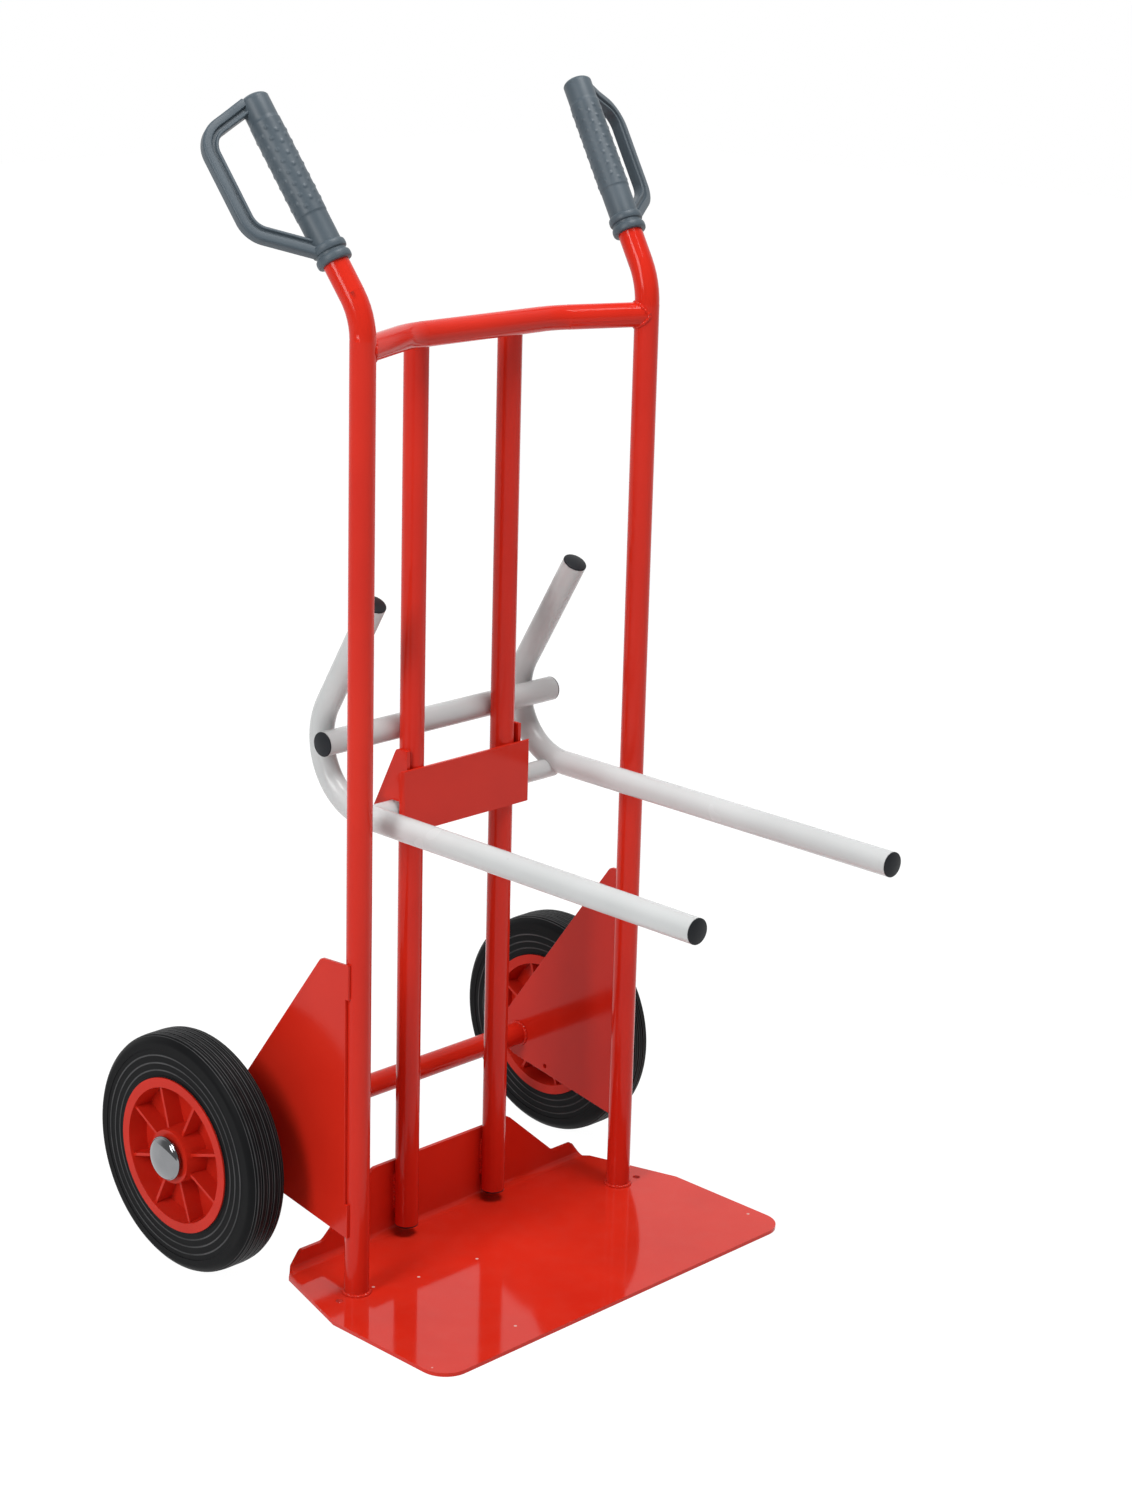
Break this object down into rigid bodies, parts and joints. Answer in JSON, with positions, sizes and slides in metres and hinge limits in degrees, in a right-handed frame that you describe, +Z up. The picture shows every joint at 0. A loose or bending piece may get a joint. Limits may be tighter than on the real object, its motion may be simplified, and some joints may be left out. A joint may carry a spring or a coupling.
{
  "type": "stacking chair trolley",
  "caption": "Sack-truck style trolley for stacked chairs: bent tube frame with knuckle-guard grips, toe plate, solid-tyred wheels and a fork that folds up.",
  "frame": {"origin": "midway between the uprights' centre lines, on the toe plate's underside at ground level", "axes": "+Z up, -Y to the front where the toe plate and fork reach, X across the truck"},
  "size_m": [0.6094, 0.6864, 1.1783],
  "materials": {
    "frame_red": "gloss powder coat",
    "fork_grey": "satin powder coat",
    "grip_slate": "soft moulded",
    "plug_black": "matt",
    "tyre_black": "matt",
    "rim_red": "semi-gloss moulded",
    "axle_steel": "zinc plated",
    "cap_chrome": "polished",
    "bush_nylon": "matt"
  },
  "bodies": {
    "frame": {"toe_plate": "frame_red", "left_upright": "frame_red", "right_upright": "frame_red", "left_inner_post": "frame_red", "right_inner_post": "frame_red", "post_plugs": "plug_black", "top_crossbar": "frame_red", "left_grip": "grip_slate", "right_grip": "grip_slate", "left_wheel_plate": "frame_red", "right_wheel_plate": "frame_red", "axle_tube": "frame_red", "axle_rod": "axle_steel", "left_axle_spacer": "axle_steel", "right_axle_spacer": "axle_steel", "left_axle_washer": "axle_steel", "right_axle_washer": "axle_steel", "left_axle_cap": "cap_chrome", "right_axle_cap": "cap_chrome", "cross_plate": "frame_red", "left_pivot_gusset": "frame_red", "right_pivot_gusset": "frame_red", "left_pivot_bolt": "axle_steel", "right_pivot_bolt": "axle_steel"},
    "left_wheel": {"left_tyre": "tyre_black", "left_rim": "rim_red", "left_hub_bushes": "bush_nylon"},
    "right_wheel": {"right_tyre": "tyre_black", "right_rim": "rim_red", "right_hub_bushes": "bush_nylon"},
    "fork": {"left_fork_tube": "fork_grey", "right_fork_tube": "fork_grey", "fork_cross_tube": "fork_grey", "left_pivot_sleeve": "fork_grey", "right_pivot_sleeve": "fork_grey", "arm_plugs": "plug_black", "leg_plugs": "plug_black", "cross_tube_plugs": "plug_black"}
  },
  "joints": [
    {"name": "left_wheel_spin", "type": "hinge", "parent": "frame", "child": "left_wheel", "pos_m": [-0.2635, 0.1705, 0.125], "axis": [1, 0, 0], "continuous": true},
    {"name": "right_wheel_spin", "type": "hinge", "parent": "frame", "child": "right_wheel", "pos_m": [0.2635, 0.1705, 0.125], "axis": [1, 0, 0], "continuous": true},
    {"name": "fork_fold", "type": "hinge", "parent": "frame", "child": "fork", "pos_m": [0, 0.065, 0.475], "axis": [-1, 0, 0], "range_deg": [0, 100]}
  ]
}
